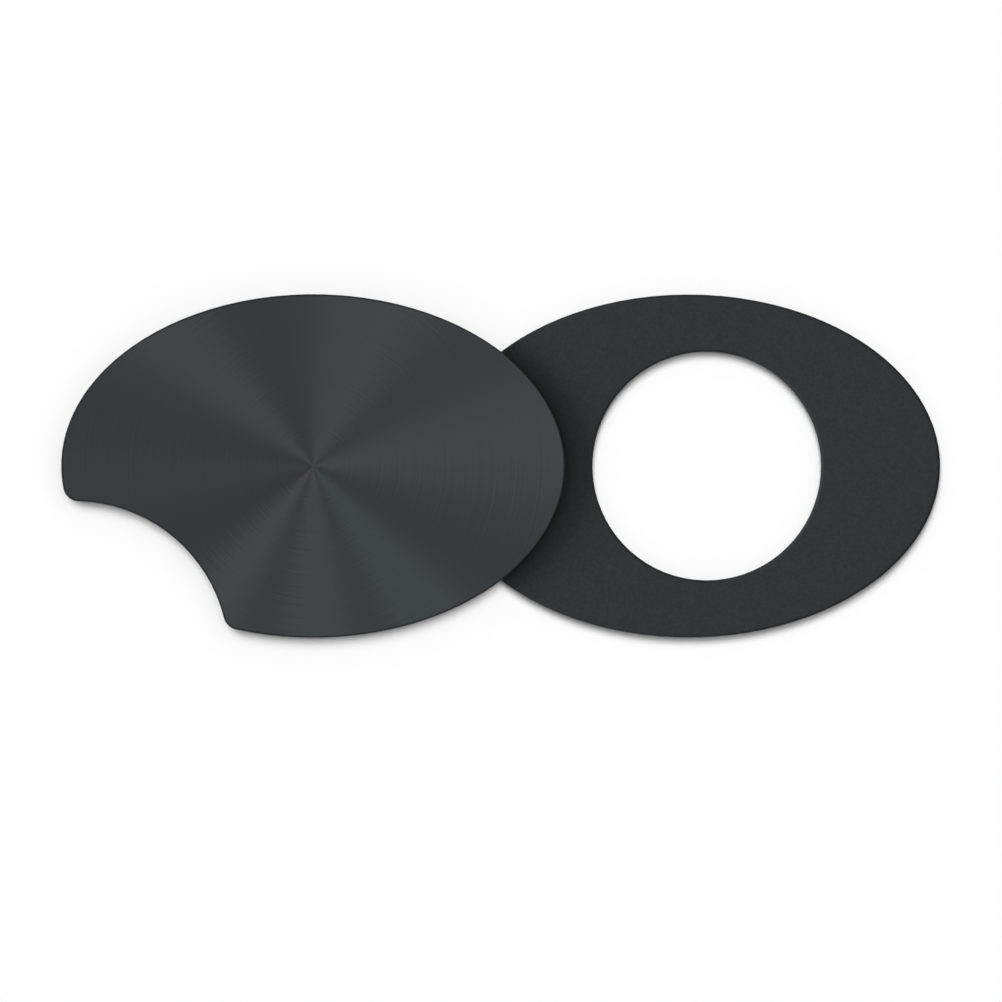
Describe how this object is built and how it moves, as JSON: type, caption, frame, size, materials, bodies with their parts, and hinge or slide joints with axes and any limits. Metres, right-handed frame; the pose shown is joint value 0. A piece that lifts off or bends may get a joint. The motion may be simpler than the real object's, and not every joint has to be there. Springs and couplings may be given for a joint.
{
  "type": "webcam cover",
  "caption": "Thin oval webcam cover: a base plate with a round camera window, and a notched magnetic plate that slides across it to open or close the view.",
  "frame": {"origin": "on the camera window's axis, in the tape face that sticks to the screen bezel", "axes": "+X along the slide, the way that closes the cover; +Y to the side away from the finger notch; +Z away from the bezel"},
  "size_m": [0.0384, 0.015, 0.0011],
  "materials": {
    "acrylic_tape": "milky acrylic tape",
    "coated_steel": "matte black coating",
    "magnet_rubber": "matte ferrite-filled rubber",
    "spun_aluminium": "spun, dark grey anodised"
  },
  "bodies": {
    "base": {"base_plate": "coated_steel", "adhesive_pad": "acrylic_tape"},
    "slider": {"slider_plate": "spun_aluminium", "magnet_sheet": "magnet_rubber"}
  },
  "joints": [
    {"name": "cover_slide", "type": "slide", "parent": "base", "child": "slider", "axis": [1, 0, 0], "range_m": [0, 0.0164]}
  ]
}
